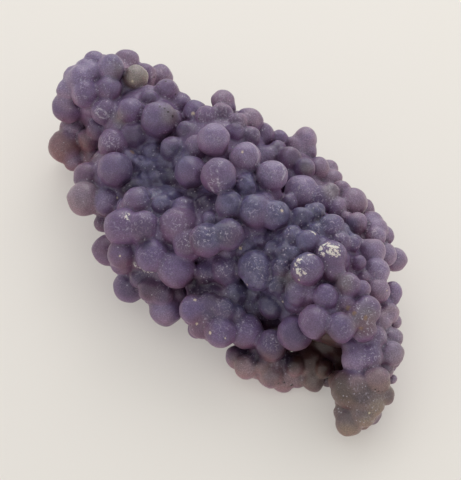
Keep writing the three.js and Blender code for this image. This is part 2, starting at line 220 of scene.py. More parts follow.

# Where the stone turns another colour, or where shade or light is painted on it: right of the aim, above it,
# and how far it reaches. The tone is full within a share of that reach, and depth along the sight line
# counts less than what lies across it.
FULL_SHARE = 1 / 3
DEPTH_COUNTS = 0.4
TONES = {
    # painted shade: near black and brown, in the deep hollow
    "hollow_shade": [
        [17.3, -18.4, 4.6], [14.0, -19.4, 4.4], [10.6, -19.8, 3.2], [18.6, -21.4, 2.6], [16.6, -17.3, 2.6],
        [17.0, -21.6, 3.0], [16.6, -16.6, 3.0], [15.0, -17.6, 3.0],
    ],
    # brown, on the tip's near side under the overhang: partly the tip's own brown, partly painted shade
    "umber_and_shade": [
        [19.3, -26.6, 3.2], [18.6, -23.8, 2.8], [16.9, -23.8, 2.6], [14.9, -22.4, 2.6], [17.9, -26.8, 2.8],
        [17.6, -21.8, 2.4],
    ],
    # painted shade in the deepest creases
    "dark": [
        [4.6, -19.6, 2.0], [2.2, -18.6, 1.6], [9.2, -20.4, 2.0],
        [-4.6, 6.8, 3.0], [-6.4, 8.4, 2.2], [-3.9, -8.5, 2.8], [-5.9, -7.8, 2.2], [5.8, -13.5, 2.2],
        [7.4, -13.9, 2.0], [-17.6, 8.8, 2.2], [-14.6, -0.6, 1.6],
    ],
    # darker than what is round it: partly darker stone, partly painted shade in the recesses and on the side
    # away from the light
    "dim_and_shade": [
        [-11.6, 9.4, 3.2], [-10.0, 10.6, 3.0], [-17.4, 9.0, 2.6], [-6.0, 7.2, 2.8], [11.6, 13.8, 2.8],
        [-7.4, 18.6, 2.4], [7.0, -11.2, 3.2], [-2.4, -11.6, 3.6], [0.9, -12.4, 2.8],
        [-11.6, -9.0, 2.8], [-13.6, -8.4, 2.8], [8.0, -7.7, 2.8], [8.7, -4.4, 2.6], [8.2, -1.7, 3.0],
        [12.0, 3.8, 1.8], [14.8, 3.6, 1.8], [2.0, -9.6, 2.6], [1.6, -19.4, 2.8], [-16.3, 17.8, 2.8],
        [-23.6, 14.0, 2.4], [-17.6, 25.0, 2.2], [11.0, -16.4, 3.2], [6.9, -18.4, 3.4], [-13.8, 24.0, 1.8],
        [3.3, 17.5, 2.4], [5.4, -21.0, 2.8], [18.9, -25.6, 3.0], [22.0, -26.0, 2.8], [-5.6, -8.0, 3.0],
        [-14.9, 1.8, 2.8], [-1.5, 21.4, 2.2], [1.2, 20.0, 2.2], [8.0, 15.2, 2.4], [-7.0, -0.8, 2.8],
        [-0.3, 0.9, 3.0], [-4.2, -5.7, 2.8],
        [-0.8, -5.2, 3.2], [-17.1, -7.9, 2.8], [-15.3, -6.3, 2.4], [11.0, -21.3, 2.4], [7.0, -23.4, 2.2],
    ],
    # lighter than what is round it, mostly along the edges: partly paler stone, partly painted light that
    # comes through the edges
    "pale": [
        [27.9, -3.3, 3.4], [26.2, -2.4, 2.8], [24.0, -2.0, 2.4], [27.6, -9.4, 2.6], [27.6, -14.0, 2.8],
        [27.5, -16.7, 3.0], [27.5, -19.4, 3.2], [27.5, -23.7, 1.8], [-27.8, 25.5, 3.0], [-25.0, 29.6, 3.4],
        [-22.6, 30.4, 2.6], [24.0, 3.0, 2.4], [21.3, -20.3, 2.6], [6.3, 14.3, 2.2],
        [-21.0, 28.8, 2.2], [-24.2, 21.6, 2.4], [-21.2, 6.6, 2.2], [-27.0, 28.4, 2.8], [-26.6, 13.6, 2.4],
        [-26.9, 18.8, 2.6], [26.0, 0.7, 2.8], [13.3, 16.6, 2.8], [-11.4, -12.6, 2.6], [28.2, -8.9, 2.6],
        [15.8, -25.4, 2.2],
    ],
    # painted shade: a deeper violet on the side that faces the eye, away from the light
    "deep": [
        [-9.3, -5.2, 4.2], [-13.7, -2.7, 3.6], [-4.2, -5.7, 3.0], [-0.8, -5.2, 3.2], [2.6, -15.5, 4.4],
        [-1.8, -15.6, 3.6], [-6.3, -11.8, 3.6], [11.0, -15.8, 4.0], [6.9, -17.9, 3.6], [-10.8, -12.0, 3.6],
        [21.2, -25.0, 3.4],
    ],
    # wine, low at the left and along the lower edge: partly the stone's own red, partly painted shade
    "wine_and_shade": [
        [-24.4, 10.8, 2.8], [-22.0, 3.2, 3.2], [-21.2, -0.6, 3.2], [-23.6, 14.0, 2.4], [-17.5, -4.6, 2.6],
        [-13.8, -8.4, 3.2], [-9.2, -9.2, 2.6], [-5.6, -8.0, 3.4], [-2.4, -8.8, 2.6], [-5.0, -14.8, 3.0],
        [2.0, -19.0, 3.4], [6.0, -20.6, 3.0], [9.4, -19.6, 3.4], [6.2, -14.0, 2.4], [-11.0, -13.4, 2.0],
        [22.8, 1.4, 2.8], [23.0, -14.6, 2.4], [20.0, -11.8, 2.4],
    ],
    # reddish brown under the head: partly the stone's own tint, partly painted light that comes through the
    # grapes
    "rust_and_glow": [[-27.8, 15.6, 7.0], [-26.6, 13.6, 3.2], [-26.9, 18.8, 2.6]],
    # dull pinkish brown, on the ledge
    "clay": [
        [1.8, -22.0, 3.6], [5.4, -22.6, 4.2], [8.9, -23.6, 4.2], [12.0, -22.6, 4.2], [24.9, -23.8, 3.4],
        [21.8, -24.6, 2.6], [27.6, -13.6, 3.2],
    ],
    # greyish tan, at the tip
    "tan": [
        [22.0, -29.0, 4.0], [24.3, -28.3, 5.0], [20.2, -31.0, 7.5], [27.4, -26.0, 3.4], [27.8, -19.6, 3.6],
        [27.8, -16.4, 3.0], [18.2, -27.5, 5.0], [14.6, -24.4, 4.0],
    ],
    # where light comes through the tip's edge
    "buff": [
        [20.0, -33.2, 3.0], [17.4, -31.8, 2.4], [25.4, -28.8, 2.6], [23.4, -31.4, 2.4], [27.6, -24.0, 2.6],
        [15.6, -25.2, 1.8], [28.4, -19.4, 1.8],
    ],
    # a greyer smudge here and there
    "drab": [
        [13.0, 12.0, 1.8], [17.2, 8.4, 2.4], [-10.2, 21.2, 2.6], [9.6, -7.0, 2.4], [22.8, -13.4, 3.4],
        [-19.8, 28.8, 2.4], [-19.0, 20.8, 2.2], [19.2, -7.2, 2.4],
    ],
    # dull blue, in the valley and the low middle
    "slate": [
        [-13.4, 12.6, 7.0], [-9.0, 13.5, 5.0], [-12.0, 8.0, 5.0], [1.5, 6.5, 5.5], [4.0, -4.0, 6.5],
        [9.0, -1.0, 6.0], [2.0, -9.0, 5.5], [7.5, -9.5, 5.5], [10.0, 4.5, 5.0], [14.0, 4.0, 5.0],
        [4.0, 10.0, 3.5], [-3.0, 1.5, 4.0], [20.0, 2.0, 3.0],
    ],
    # pinker, along the upper and right edges: partly the stone's own pink, partly painted light that comes
    # through the edges
    "rose_and_glow": [
        [-17.7, 30.2, 3.2], [-11.8, 27.8, 3.0], [-1.3, 24.0, 2.8], [3.6, 21.0, 2.8], [12.5, 17.0, 4.0],
        [17.0, 11.5, 4.4], [21.5, 6.0, 4.4], [25.5, 1.0, 4.6], [27.9, -3.3, 5.0], [25.5, -8.0, 4.0],
        [-27.7, 24.0, 3.0], [25.4, 2.4, 3.0], [27.6, -12.6, 2.6],
    ],
}
# Grapes that have a tone of their own, each named by its first two values in the list of grapes.
OWN_TONES = {
    "olive": [[-16.1, 27.6]],
    "ash": [[-24.8, 7.0]],
    "fair": [[2.5, 14.0], [12.0, 8.2], [24.8, -5.4], [7.0, 10.9], [21.3, -20.3], [-2.85, 17.1]],
}

# Marks on the surface. A crust runs through its places. Each place has where it is seen, to the right of
# the aim and above it, and half the crust's width.
CRUSTS = [
    [[15.2, -1.5, 0.7], [16.4, -0.6, 0.8], [17.6, -1.2, 1.0], [18.3, -2.2, 0.6]],
    [[15.6, -2.2, 0.5], [16.9, -2.0, 0.8], [17.8, -2.6, 0.6]],
    [[15.0, -1.7, 0.4], [14.2, -2.5, 0.35], [13.4, -2.5, 0.3]],
    [[11.9, -3.2, 0.6], [11.1, -4.2, 0.7], [11.7, -5.4, 0.6], [12.8, -5.9, 0.3]],
    [[-16.4, -3.8, 0.3], [-15.4, -4.8, 0.4], [-13.3, -5.5, 0.5]],
    [[-17.6, 4.2, 0.6], [-17.5, 3.6, 0.5]],
    [[13.9, 1.4, 0.3], [14.4, 1.0, 0.3]],
]
# The same for places with fine pale veins.
VEINS = [
    [[-3.2, 9.6, 1.2], [-1.6, 9.0, 1.4]], [[4.7, 14.9, 0.4], [5.0, 13.8, 0.4]],
    [[8.2, 13.1, 0.45], [9.1, 12.0, 0.4], [8.8, 10.4, 0.35]], [[3.6, 5.4, 1.5]], [[7.9, 5.3, 1.4]],
    [[-22.4, 21.8, 0.9], [-21.0, 20.9, 0.8]], [[-19.8, 30.2, 1.3]], [[-1.0, 0.6, 1.2]], [[24.7, 1.2, 1.0]],
    [[-12.0, -8.6, 1.2]], [[-25.6, 24.4, 1.2], [-24.6, 28.6, 1.2]], [[-20.6, 17.0, 1.6], [-19.6, 15.4, 1.4]],
    [[-21.8, 25.6, 1.4]], [[12.8, -4.2, 2.0]], [[-7.2, 0.2, 1.8], [-4.0, 1.0, 1.8]], [[20.4, -7.2, 1.8]],
    [[22.8, -11.0, 1.8], [23.0, -14.6, 1.6]], [[21.0, -25.0, 1.0]], [[2.6, -14.2, 1.8]],
    [[12.4, 8.6, 1.4], [15.8, 6.8, 1.8]], [[17.0, 2.8, 1.4]], [[-1.8, 23.8, 1.0]], [[-17.4, 3.2, 1.6]],
    [[4.2, -4.0, 1.2]], [[23.6, -20.2, 1.6]], [[-8.6, 3.0, 1.4]], [[6.9, -17.2, 1.2]],
]
# The same for single white lines.
STROKES = [
    [[3.2, 16.6, 0.5], [4.2, 15.8, 0.5], [4.8, 14.6, 0.5], [4.7, 13.5, 0.5], [4.2, 12.7, 0.4]],
    [[8.2, 13.3, 0.5], [9.0, 12.3, 0.6], [9.2, 11.2, 0.5], [8.7, 10.2, 0.5]],
    [[-2.2, 10.6, 0.5], [-2.0, 9.4, 0.5], [-1.6, 8.4, 0.5]], [[-3.8, 9.6, 0.5], [-2.8, 8.2, 0.5]],
    [[-2.4, 12.0, 0.5], [-2.1, 11.2, 0.4]],
    [[-23.0, 22.0, 0.5], [-22.3, 22.3, 0.5], [-21.3, 21.8, 0.5], [-20.7, 21.0, 0.5], [-21.3, 20.6, 0.4]],
    [[-21.3, 20.6, 0.4], [-22.3, 21.0, 0.5], [-23.0, 22.0, 0.5]],
    [[2.6, -3.2, 0.3], [4.4, -3.0, 0.3], [5.6, -3.6, 0.3]],
    [[3.2, -5.4, 0.3], [4.8, -5.6, 0.3], [5.9, -6.4, 0.3]],
    [[17.9, 0.9, 0.5], [18.6, 0.4, 0.4]],
]
# Small specks: where they are seen, to the right of the aim and above it, and their radius.
CREAM_SPECKS = [
    [-6.4, 21.5, 0.42], [-6.0, -10.2, 0.36], [-5.7, -14.2, 0.3], [-3.5, -15.8, 0.34], [-0.9, -16.7, 0.2],
    [1.7, -1.4, 0.36], [2.0, 15.0, 0.3], [8.75, 5.0, 0.32], [-16.7, 27.0, 0.28], [-18.8, -2.7, 0.24],
    [2.8, -7.6, 0.24], [8.9, -10.5, 0.24], [-19.3, 7.2, 0.24], [6.9, 24.0, 0.2], [11.6, -6.8, 0.24],
    [14.1, -17.0, 0.2], [26.6, -8.6, 0.2], [23.6, -29.4, 0.22],
]
DARK_SPECKS = [
    [-11.0, 27.0, 0.26], [-12.3, 26.4, 0.24], [-13.0, 27.7, 0.26], [-9.3, 24.8, 0.22], [-10.6, 21.8, 0.28],
    [-12.0, 22.7, 0.3], [-11.2, 22.4, 0.26], [-9.8, 21.0, 0.3], [-7.6, 20.8, 0.26], [-5.4, 20.6, 0.22],
    [8.2, -24.4, 0.3], [9.2, -24.2, 0.26], [10.4, -24.7, 0.28], [3.3, 12.2, 0.2], [3.9, -8.1, 0.26],
    [5.1, -8.9, 0.2], [24.6, -25.4, 0.2], [25.2, -25.7, 0.22], [25.8, -25.8, 0.2],
]
OCHRE_SPECKS = [
    [20.0, -11.6, 0.6], [21.0, -12.4, 0.5], [23.0, -13.2, 0.6], [22.2, -15.0, 0.5], [-16.7, 15.0, 0.6],
]

# The fine surface: its mesh step, how softly the grapes meet, and how softly the low mounds between them
# melt together.
STEP = 0.415
GRAPE_SOFTNESS = 0.12
GROUND_SOFTNESS = 0.26
# How uneven it is, all over and on the low ground of the valley: how many waves cross, the shortest and the
# longest of them, and how high they rise together.
UNEVENNESS = dict(count=9, shortest=1.6, longest=4.5, height=0.08)
GROUND_ROUGHNESS = dict(count=32, shortest=1.0, longest=2.0, height=0.13)
WAVES_SEED = 7
# Distances are worked out in blocks of this size, from the balls that come this near to them.
BLOCK = 5.0
REACH = 1.6
# The grid goes on this far past the balls, and this far below the flat cut. What lies below the cut's height
# belongs to it.
MARGIN = 2 * STEP
BELOW_CUT = 1.5 * STEP
CUT_HEIGHT = 0.35 * STEP
# How often the points are drawn onto the surface, and the least squared slope that counts in it.
DRAWS = 3
LEAST_SLOPE = 0.3
# A length to divide by where there is none.
TINY = 1e-6
# The search for the surface along a sight line: how far before the aim it starts, its longest step, and
# how many steps it takes.
SEARCH_AHEAD = 50.0
SEARCH_REACH = 4.0
SEARCH_STEPS = 60
# The distances at which the surface looks ahead to tell how deep in a recess it lies.
LOOKS_AHEAD = (0.7, 1.4, 2.6)
TINT_SEED = 3
# How deep the bands of the flat cut go in from its edge.
CUT_DEPTH = 8.0


def rgb(red, green, blue):
    """A colour from the values it has on a screen, 0 to 255."""
    return (*[((value / 255 + 0.055) / 1.055) ** 2.4 for value in (red, green, blue)], 1.0)


# The stone's violet, which goes from the one to the other by grapes, and what it drifts to by places.
VIOLET = rgb(108, 87, 120)
PLUM = rgb(117, 92, 118)
BLUE_PATCH = rgb(106, 95, 124)
WARM_DRIFT = rgb(136, 112, 126)
COOL_DRIFT = rgb(92, 80, 112)
# The tones, in the order in which they are laid on: how strongly, and in which colour. Some of them are
# painted shade or painted light.
TONE_COLOURS = {
    # partly painted light through the edges
    "rose_and_glow": (0.65, rgb(150, 126, 140)),
    "slate": (0.7, rgb(92, 90, 120)),
    # painted shade on the side away from the light
    "deep": (0.7, rgb(104, 86, 122)),
    "drab": (0.6, rgb(124, 114, 112)),
    # partly painted shade
    "wine_and_shade": (0.6, rgb(104, 74, 90)),
    # partly painted shade under the overhang
    "umber_and_shade": (0.8, rgb(100, 78, 68)),
    "clay": (0.85, rgb(144, 118, 118)),
    # partly painted light through the grapes under the head
    "rust_and_glow": (0.85, rgb(132, 98, 96)),
    "tan": (0.8, rgb(112, 96, 88)),
    "buff": (0.6, rgb(142, 126, 108)),
    "olive": (0.9, rgb(146, 134, 124)),
    "ash": (0.8, rgb(142, 122, 130)),
    # painted shade in the hollow
    "hollow_shade": (0.96, rgb(60, 30, 22)),
    # painted shade in the deepest creases
    "dark": (0.75, rgb(52, 42, 66)),
}
# How far the dim places are darkened, partly as painted shade.
DIM_AND_SHADE_BRIGHTNESS = 0.72
# The lighter colour of paler stone and of painted light through the edges, and how strongly it is laid on.
PALE_AND_GLOW = rgb(144, 126, 152)
PALE_AND_GLOW_STRENGTH = 0.62
# Painted shade in the creases: its colour and how strongly it is laid on.
CREASE_SHADE = rgb(78, 54, 78)
CREASE_SHADE_STRENGTH = 0.4
# What the colour is multiplied by where the stone faces up, and where it faces down. Facing down it turns
# pinker with painted light that comes through the stone.
FACING_UP = (0.85, 0.9, 0.98, 1)
FACING_DOWN_GLOW = (1.12, 0.93, 1.0, 1)
MOTTLE_DARK = rgb(58, 50, 80)
MOTTLE_PALE = rgb(116, 114, 128)
MOTTLE_STRENGTH = 0.5
# The colours of the marks, and how strongly they are laid on.
FROST = rgb(182, 174, 188)
FROST_STRENGTH = 0.36
VEIN = rgb(184, 176, 190)
VEIN_STRENGTH = 0.46
STROKE = rgb(200, 194, 204)
STROKE_STRENGTH = 0.62
# Painted glints of tiny crystals.
CRYSTAL_GLINT = rgb(196, 190, 202)
CRYSTAL_GLINT_STRENGTH = 0.6
CRUST = rgb(214, 208, 200)
SPECK_COLOURS = [
    (OCHRE_SPECKS, 0.6, rgb(140, 112, 76)),
    (DARK_SPECKS, 0.85, rgb(44, 32, 30)),
    (CREAM_SPECKS, 0.85, rgb(210, 196, 172)),
]
# The bands of the broken cut, from its edge inward, and the rock in its middle: where each is, as a share
# of the bands' depth, and its colour.
CUT_BANDS = [
    (0.0, rgb(120, 104, 138)),
    (0.16, rgb(170, 160, 178)),
    (0.24, rgb(128, 112, 148)),
    (0.42, rgb(186, 180, 184)),
    (0.6, rgb(142, 126, 112)),
    (1.0, rgb(128, 112, 98)),
]
# The noises in the stone: how many features there are in a metre, how many finer ones lie over them, and
# how strong those are.
NOISES = {
    "drift": (70, 1, 0.5),
    "patches": (110, 2, 0.5),
    "frost": (190, 2, 0.5),
    "bands": (260, 3, 0.6),
    "clouds": (420, 3, 0.6),
    "mottle": (700, 3, 0.6),
    "threads": (1300, 1, 0.5),
    "lace": (1800, 3, 0.7),
    "breaks": (2200, 1, 0.5),
    "ragged": (2600, 2, 0.6),
    "grain": (5000, 2, 0.6),
}
CRYSTALS_IN_A_METRE = 2000.0

# How the stone takes the light. The crust's height is a share of the grain's.
STONE_ROUGHNESS = 0.34
CRYSTAL_ROUGHNESS = 0.2
REFRACTION = 1.54
SPECULAR_LEVEL = 0.4
SUBSURFACE_WEIGHT = 0.7
SUBSURFACE_RADIUS = (1.0, 0.6, 0.7)
SUBSURFACE_DEPTH = 0.9
BUMP_STRENGTH = 0.35
BUMP_HEIGHT = 0.08
CRUST_HEIGHT = 0.8

# The floor. A translucent pale pad glows a little with the light inside it, so its shadows stay weak.
FLOOR_SIDE = 2000.0
FLOOR_COLOUR = (0.52, 0.5, 0.47, 1)
FLOOR_ROUGHNESS = 0.9
GLOW_COLOUR = (1.0, 0.96, 0.9, 1)
GLOW_STRENGTH = 0.28

# The light from all round, and two square lights. Each has where it stands, to the right, away from the
# eye and up, its side, its power in watts and its colour.
SKY_COLOUR = (1.0, 0.99, 0.97, 1)
SKY_STRENGTH = 0.8
LIGHTS = {
    "window": dict(place=(30, 200, 200), side=100, power=0.06, colour=(1.0, 0.985, 0.96)),
    "back": dict(place=(60, 400, 340), side=500, power=0.84, colour=(1.0, 0.99, 0.97)),
}

# Directions of sight: level to the right and away from the eye, and up in the view and towards the eye.
above = np.array([0.0, 0.0, 1.0])
right = np.array([math.cos(SIGHT_AZIMUTH), math.sin(SIGHT_AZIMUTH), 0.0])
away = np.array([-math.sin(SIGHT_AZIMUTH), math.cos(SIGHT_AZIMUTH), 0.0])
up = away * math.sin(SIGHT_ELEVATION) + above * math.cos(SIGHT_ELEVATION)
towards = -away * math.cos(SIGHT_ELEVATION) + above * math.sin(SIGHT_ELEVATION)
eye = SIGHT_AIM + SIGHT_DISTANCE * towards
core = np.array(CORE, float)
# How many balls are seated one by one.
SEATED = len(GRAPES) + len(MOUNDS)


def sight_line(seen_right, seen_up):
    """The direction from the eye to what is seen at a place."""
    line = SIGHT_AIM + seen_right * right + seen_up * up - eye
    return line / np.linalg.norm(line)


def seat(seen_right, seen_up, seen_radius, proud):
    """A ball where a sight line first meets the core, swollen by proud, or passes nearest to it."""
    line = sight_line(seen_right, seen_up)
    offset = core[:, :3] - eye
    along = offset @ line
    miss = np.sqrt(np.maximum((offset ** 2).sum(1) - along ** 2, 0))
    reach = core[:, 3] + proud
    met = miss < reach
    if met.any():
        at = (along[met] - np.sqrt(reach[met] ** 2 - miss[met] ** 2)).min()
    else:
        at = along[np.argmin(miss - core[:, 3])]
    depth = -at * (line @ towards)
    return [*(eye + at * line), seen_radius * depth / SIGHT_DISTANCE]


def spiral_points(centre, radius, pitch):
    """Points spread evenly over a sphere, in a spiral, and the directions they lie in."""
    count = round(4 * math.pi * radius * radius / (pitch * pitch))
    number = np.arange(count)
    height = 1 - 2 * (number + 0.5) / count
    width = np.sqrt(1 - height ** 2)
    turn = GOLDEN_ANGLE * number
    outward = np.stack([width * np.cos(turn), width * np.sin(turn), height], axis=1)
    return centre + radius * outward, outward


def seen(balls):
    """Where balls are seen from the eye, and how large: right, up and radius."""
    offset = balls[:, :3] - eye
    scale = SIGHT_DISTANCE / -(offset @ towards)
    return np.stack([offset @ right * scale, offset @ up * scale, balls[:, 3] * scale], axis=1)


def covers(place, depth, outline, depths):
    """Whether a ball rises above the inner part of a listed grape, where that is seen."""
    apart = np.linalg.norm(outline[:, :2] - place[:2], axis=1)
    inner = np.minimum(apart, KEPT_IN_SIGHT * outline[:, 2])
    rise = place[2] ** 2 - (apart - inner) ** 2
    top = depth + np.sqrt(np.maximum(rise, 0))
    seated_top = depths + np.sqrt(outline[:, 2] ** 2 - inner ** 2)
    return ((rise > 0) & (top > seated_top)).any()


def fill_core(balls, fill, outline, box):
    """The given balls, and new ones on every place of the core that they leave bare, inside a box."""
    placed = list(balls)
    tried = 0
    seated = outline[:SEATED]
    depths = np.array(balls)[:SEATED, :3] @ towards
    clear = np.array(KEPT_CLEAR)
    for index, lump in enumerate(core):
        others = np.delete(core, index, 0)
        for point, outward in zip(*spiral_points(lump[:3], lump[3] - fill["sink"], fill["pitch"])):
            tried += 1
            if point[2] < fill["lowest"] or outward @ towards > fill["facing"]:
                continue
            if (np.linalg.norm(others[:, :3] - point, axis=1) < others[:, 3] - fill["sink"]).any():
                continue
            radius = fill["radius"] + fill["variation"] * math.sin(tried * VARIATION_STEP)
            place = seen(np.array([[*point, radius]]))[0]
            cover = (outline[:, 2] - np.linalg.norm(outline[:, :2] - place[:2], axis=1)).max()
            room = np.minimum(point - box[0], box[1] - point)[[0, 1]].min()
            radius = min(radius, cover + SHOWS_PAST, room)
            if radius < LEAST_RADIUS or covers([*place[:2], radius], point @ towards, seated, depths):
                continue
            if (np.linalg.norm(clear[:, :2] - place[:2], axis=1) < clear[:, 2] + CLEAR_SHARE * radius).any():
                continue
            found = np.array(placed)
            share = np.where(np.arange(len(found)) < SEATED, fill["tucked"], fill["apart"])
            gap = np.linalg.norm(found[:, :3] - point, axis=1) - share * (found[:, 3] + radius)
            if gap.min() >= 0:
                placed.append([*point, radius])
    return placed


def ripple(points, count, shortest, longest, height):
    """An even unevenness, from a number of crossing waves."""
    rng = np.random.default_rng(WAVES_SEED)
    waves = rng.normal(size=(count, 3))
    waves *= (2 * math.pi / rng.uniform(shortest, longest, count) / np.linalg.norm(waves, axis=1))[:, None]
    total = np.sin(points @ waves.T + rng.uniform(0, 2 * math.pi, count)).sum(1)
    return total * height / math.sqrt(count)


def soft_least(gap, softness):
    """The least of each row, rounded off, and how much each column counts in it."""
    least = gap.min(1, keepdims=True)
    weight = np.exp((least - gap) / softness)
    total = weight.sum(1, keepdims=True)
    return least - softness * np.log(total), weight / total


class Cluster:
    """The distance to the joined balls: the grapes first, then the low mounds and the core's lumps."""

    def __init__(self):
        seated = [seat(*grape) for grape in GRAPES + MOUNDS]
        outline = seen(np.array(seated + CORE))
        box = np.array([cad_box[0], cad_box[1]]) / MM - FOOTPRINT_SHIFT
        balls = seated
        for fill in FILLS[:-1]:
            balls = fill_core(balls, fill, outline, box)
        grapes = balls[: len(GRAPES)] + balls[len(seated) :]
        mounds = fill_core(balls, FILLS[-1], outline, box)[len(balls) :]
        self.grape_count = len(grapes)
        self.balls = np.array(grapes + seated[len(GRAPES) :] + mounds + CORE)
        self.balls[:, :3] += FOOTPRINT_SHIFT

    def blocks(self, points, reach):
        """Groups of points that lie near each other, each with the balls that reach them."""
        cell = np.floor(points / BLOCK).astype(int)
        cell -= cell.min(0)
        size = cell.max(0) + 1
        key = (cell[:, 0] * size[1] + cell[:, 1]) * size[2] + cell[:, 2]
        order = np.argsort(key, kind="stable")
        starts = np.flatnonzero(np.r_[True, np.diff(key[order]) > 0])
        centres, radii = self.balls[:, :3], self.balls[:, 3]
        for group in np.split(order, starts[1:]):
            here = points[group]
            outside = np.maximum(np.maximum(here.min(0) - centres, centres - here.max(0)), 0)
            near = np.flatnonzero(np.linalg.norm(outside, axis=1) < radii + reach)
            if len(near):
                yield group, here, near

    def weigh(self, here, near):
        """The distance at points, the directions to them from the balls near by, and what each counts."""
        offset = here[:, None] - self.balls[None, near, :3]
        length = np.sqrt(np.einsum("nkd,nkd->nk", offset, offset))
        gap = length - self.balls[None, near, 3]
        split = np.searchsorted(near, self.grape_count)
        if split == len(near):
            distance, weight = soft_least(gap, GRAPE_SOFTNESS)
        else:
            ground, ground_weight = soft_least(gap[:, split:], GROUND_SOFTNESS)
            distance, weight = soft_least(np.hstack([gap[:, :split], ground]), GRAPE_SOFTNESS)
            weight = np.hstack([weight[:, :-1], weight[:, -1:] * ground_weight])
        return distance[:, 0], offset / np.maximum(length, TINY)[:, :, None], weight

    def measure(self, points, reach=REACH):
        """The distance at each point, and its slope."""
        distance = np.full(len(points), reach)
        slope = np.zeros((len(points), 3))
        for group, here, near in self.blocks(points, reach):
            distance[group], direction, weight = self.weigh(here, near)
            slope[group] = np.einsum("nk,nkd->nd", weight, direction)
        return np.minimum(distance, reach) + ripple(points, **UNEVENNESS), slope

    def own(self, points, values):
        """A value that each ball has, as it is at points on them."""
        found = np.zeros(len(points))
        for group, here, near in self.blocks(points, REACH):
            weight = self.weigh(here, near)[2]
            found[group] = weight @ values[near]
        return found

    def meet(self, places):
        """Where the sight lines to places first meet the surface."""
        lines = np.array([sight_line(place[0], place[1]) for place in places])
        start = eye + FOOTPRINT_SHIFT
        along = np.full(len(lines), SIGHT_DISTANCE - SEARCH_AHEAD)
        for _ in range(SEARCH_STEPS):
            along += self.measure(start + along[:, None] * lines, SEARCH_REACH)[0]
        return start + along[:, None] * lines


def surface_nets(values):
    """The zero surface of a grid of values, as points in grid units and quads that face outward."""
    size = np.array(values.shape) - 1
    total = np.zeros((*size, 3))
    count = np.zeros(size)

    def corner(x, y, z):
        return values[x : x + size[0], y : y + size[1], z : z + size[2]]

    for axis in range(3):
        step = np.eye(3, dtype=int)[axis]
        for side in range(4):
            base = np.insert([side & 1, side >> 1], axis, 0)
            start, end = corner(*base), corner(*(base + step))
            crossed = (start < 0) != (end < 0)
            at = start[crossed] / (start[crossed] - end[crossed])
            total[crossed] += base + at[:, None] * step
            count[crossed] += 1
    used = count > 0
    number = np.full(size, -1)
    number[used] = np.arange(used.sum())
    points = np.argwhere(used) + total[used] / count[used][:, None]
    quads = []
    for axis in range(3):
        first, second = (axis + 1) % 3, (axis + 2) % 3
        step = np.eye(3, dtype=int)
        inner = [slice(1, -1)] * 3
        inner[axis] = slice(0, -1)
        start = values[tuple(inner)]
        ahead = list(inner)
        ahead[axis] = slice(1, None)
        end = values[tuple(ahead)]
        crossed = (start < 0) != (end < 0)
        low = np.argwhere(crossed)
        low[:, first] += 1
        low[:, second] += 1
        ring = [low - step[first] - step[second], low - step[second], low, low - step[first]]
        quad = np.stack([number[tuple(place.T)] for place in ring], axis=1)
        outward = start[crossed] < 0
        quad[~outward] = quad[~outward][:, ::-1]
        quads.append(quad)
    return points, np.concatenate(quads)


def largest_part(points, quads):
    """The points and quads of the largest connected surface."""
    label = np.arange(len(points))
    while True:
        least = label[quads].min(1)
        new = label.copy()
        np.minimum.at(new, quads.ravel(), np.repeat(least, 4))
        new = new[new]
        if (new == label).all():
            break
        label = new
    kept = label == np.bincount(label).argmax()
    number = np.cumsum(kept) - 1
    return points[kept], number[quads[kept[quads[:, 0]]]]


def fine_surface(cluster):
    """Points and quads of the cluster's surface, drawn onto the joined balls, with its flat cut."""
    low = (cluster.balls[:, :3] - cluster.balls[:, 3:]).min(0) - MARGIN
    high = (cluster.balls[:, :3] + cluster.balls[:, 3:]).max(0) + MARGIN
    low[2] = -BELOW_CUT
    size = np.ceil((high - low) / STEP).astype(int) + 1
    grid = np.stack(np.meshgrid(*[np.arange(n) for n in size], indexing="ij"), axis=-1).reshape(-1, 3)
    places = low + grid * STEP
    distance = cluster.measure(places)[0]
    values = np.maximum(distance, -places[:, 2]).reshape(size)
    points, quads = largest_part(*surface_nets(values))
    points = low + points * STEP
    on_cut = points[:, 2] < CUT_HEIGHT
    for _ in range(DRAWS):
        distance, slope = cluster.measure(points)
        steep = np.maximum((slope ** 2).sum(1), LEAST_SLOPE)
        move = np.clip(distance, -STEP, STEP)[:, None] * slope / steep[:, None]
        move[on_cut & (distance < 0)] = 0
        points = points - move
        points[on_cut, 2] = 0
    return points, quads, on_cut


def new_object(name, data):
    """A named object in the scene."""
    item = bpy.data.objects.new(name, data)
    bpy.context.scene.collection.objects.link(item)
    return item


def build_mesh(name, points, quads):
    """A smooth piece from points in millimetres and quads."""
    mesh = bpy.data.meshes.new(name)
    mesh.vertices.add(len(points))
    mesh.vertices.foreach_set("co", (points * MM).ravel())
    mesh.loops.add(quads.size)
    mesh.loops.foreach_set("vertex_index", quads.ravel())
    mesh.polygons.add(len(quads))
    mesh.polygons.foreach_set("loop_start", np.arange(0, quads.size, 4))
    mesh.polygons.foreach_set("use_smooth", np.ones(len(quads), bool))
    mesh.update(calc_edges=True)
    mesh.validate()
    return new_object(name, mesh)


def smooth(values):
    """Values from 0 to 1, eased at both ends."""
    values = np.clip(values, 0, 1)
    return values * values * (3 - 2 * values)


def tone(cluster, points, spots):
    """How much of a tone there is at points, from 0 to 1."""
    found = np.zeros(len(points))
    for place, (seen_right, seen_up, reach) in zip(cluster.meet(spots), spots):
        offset = points - place
        depth = offset @ sight_line(seen_right, seen_up)
        across = (offset ** 2).sum(1) - depth ** 2
        apart = np.sqrt(np.maximum(across, 0) + (DEPTH_COUNTS * depth) ** 2)
        found = np.maximum(found, smooth((1 - apart / reach) / (1 - FULL_SHARE)))
    return found


